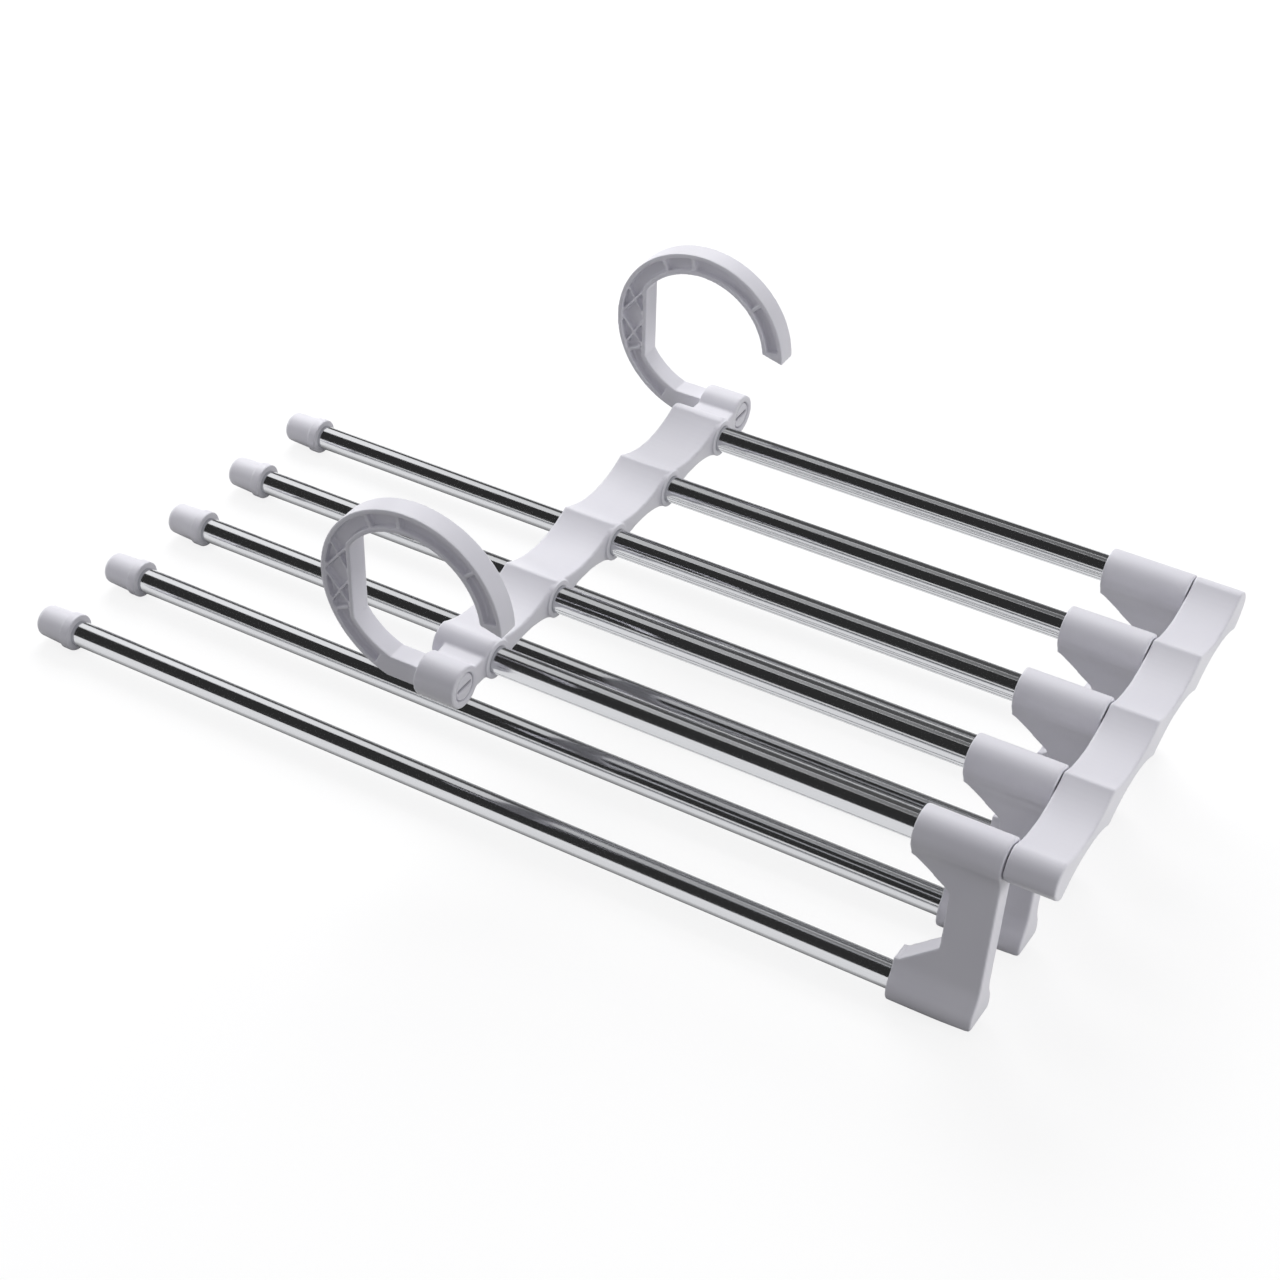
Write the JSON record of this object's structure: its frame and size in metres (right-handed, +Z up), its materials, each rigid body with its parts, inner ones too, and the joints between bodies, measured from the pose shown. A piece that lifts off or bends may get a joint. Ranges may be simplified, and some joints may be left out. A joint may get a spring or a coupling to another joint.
{
  "type": "multi-tier trouser hanger",
  "caption": "Multi-tier trouser hanger: ring hooks on a centre bar, parallel bright steel rods, and swinging C-shaped brackets that each carry a longer lower rod with a capped free end.",
  "frame": {"origin": "under the middle of the hanger's box, on the surface it stands on", "axes": "+X along the rods towards the outer bar, +Y from the front tier to the rear tier, +Z up"},
  "size_m": [0.3732, 0.1914, 0.1236],
  "materials": {
    "white_plastic": "moulded, semi-gloss",
    "bright_tube": "polished"
  },
  "bodies": {
    "frame": {"centre_bar": "white_plastic", "outer_bar": "white_plastic", "upper_rod_1": "bright_tube", "upper_rod_2": "bright_tube", "upper_rod_3": "bright_tube", "upper_rod_4": "bright_tube", "upper_rod_5": "bright_tube"},
    "tier_1": {"bracket_1": "white_plastic", "lower_rod_1": "bright_tube", "end_cap_1": "white_plastic"},
    "tier_2": {"bracket_2": "white_plastic", "lower_rod_2": "bright_tube", "end_cap_2": "white_plastic"},
    "tier_3": {"bracket_3": "white_plastic", "lower_rod_3": "bright_tube", "end_cap_3": "white_plastic"},
    "tier_4": {"bracket_4": "white_plastic", "lower_rod_4": "bright_tube", "end_cap_4": "white_plastic"},
    "tier_5": {"bracket_5": "white_plastic", "lower_rod_5": "bright_tube", "end_cap_5": "white_plastic"},
    "front_hook": {"front_hook": "white_plastic"},
    "rear_hook": {"rear_hook": "white_plastic"}
  },
  "joints": [
    {"name": "tier_1_swing", "type": "hinge", "parent": "frame", "child": "tier_1", "pos_m": [0.1423, -0.072, 0.06359], "axis": [1, 0, 0], "range_deg": [-64, 76]},
    {"name": "tier_2_swing", "type": "hinge", "parent": "frame", "child": "tier_2", "pos_m": [0.1423, -0.036, 0.06359], "axis": [1, 0, 0], "range_deg": [-64, 76]},
    {"name": "tier_3_swing", "type": "hinge", "parent": "frame", "child": "tier_3", "pos_m": [0.1423, 0, 0.06359], "axis": [1, 0, 0], "range_deg": [-64, 76]},
    {"name": "tier_4_swing", "type": "hinge", "parent": "frame", "child": "tier_4", "pos_m": [0.1423, 0.036, 0.06359], "axis": [1, 0, 0], "range_deg": [-64, 76]},
    {"name": "tier_5_swing", "type": "hinge", "parent": "frame", "child": "tier_5", "pos_m": [0.1423, 0.072, 0.06359], "axis": [1, 0, 0], "range_deg": [-64, 76]},
    {"name": "front_hook_turn", "type": "hinge", "parent": "frame", "child": "front_hook", "pos_m": [-0.0023, -0.0885, 0.06359], "axis": [1, 0, 0], "range_deg": [-60, 90]},
    {"name": "rear_hook_turn", "type": "hinge", "parent": "frame", "child": "rear_hook", "pos_m": [-0.0023, 0.0885, 0.06359], "axis": [-1, 0, 0], "range_deg": [-60, 90]}
  ],
  "couplings": [
    {"joint": "tier_2_swing", "follows": "tier_1_swing", "ratio": 1},
    {"joint": "tier_3_swing", "follows": "tier_1_swing", "ratio": 1},
    {"joint": "tier_4_swing", "follows": "tier_1_swing", "ratio": 1},
    {"joint": "tier_5_swing", "follows": "tier_1_swing", "ratio": 1}
  ]
}
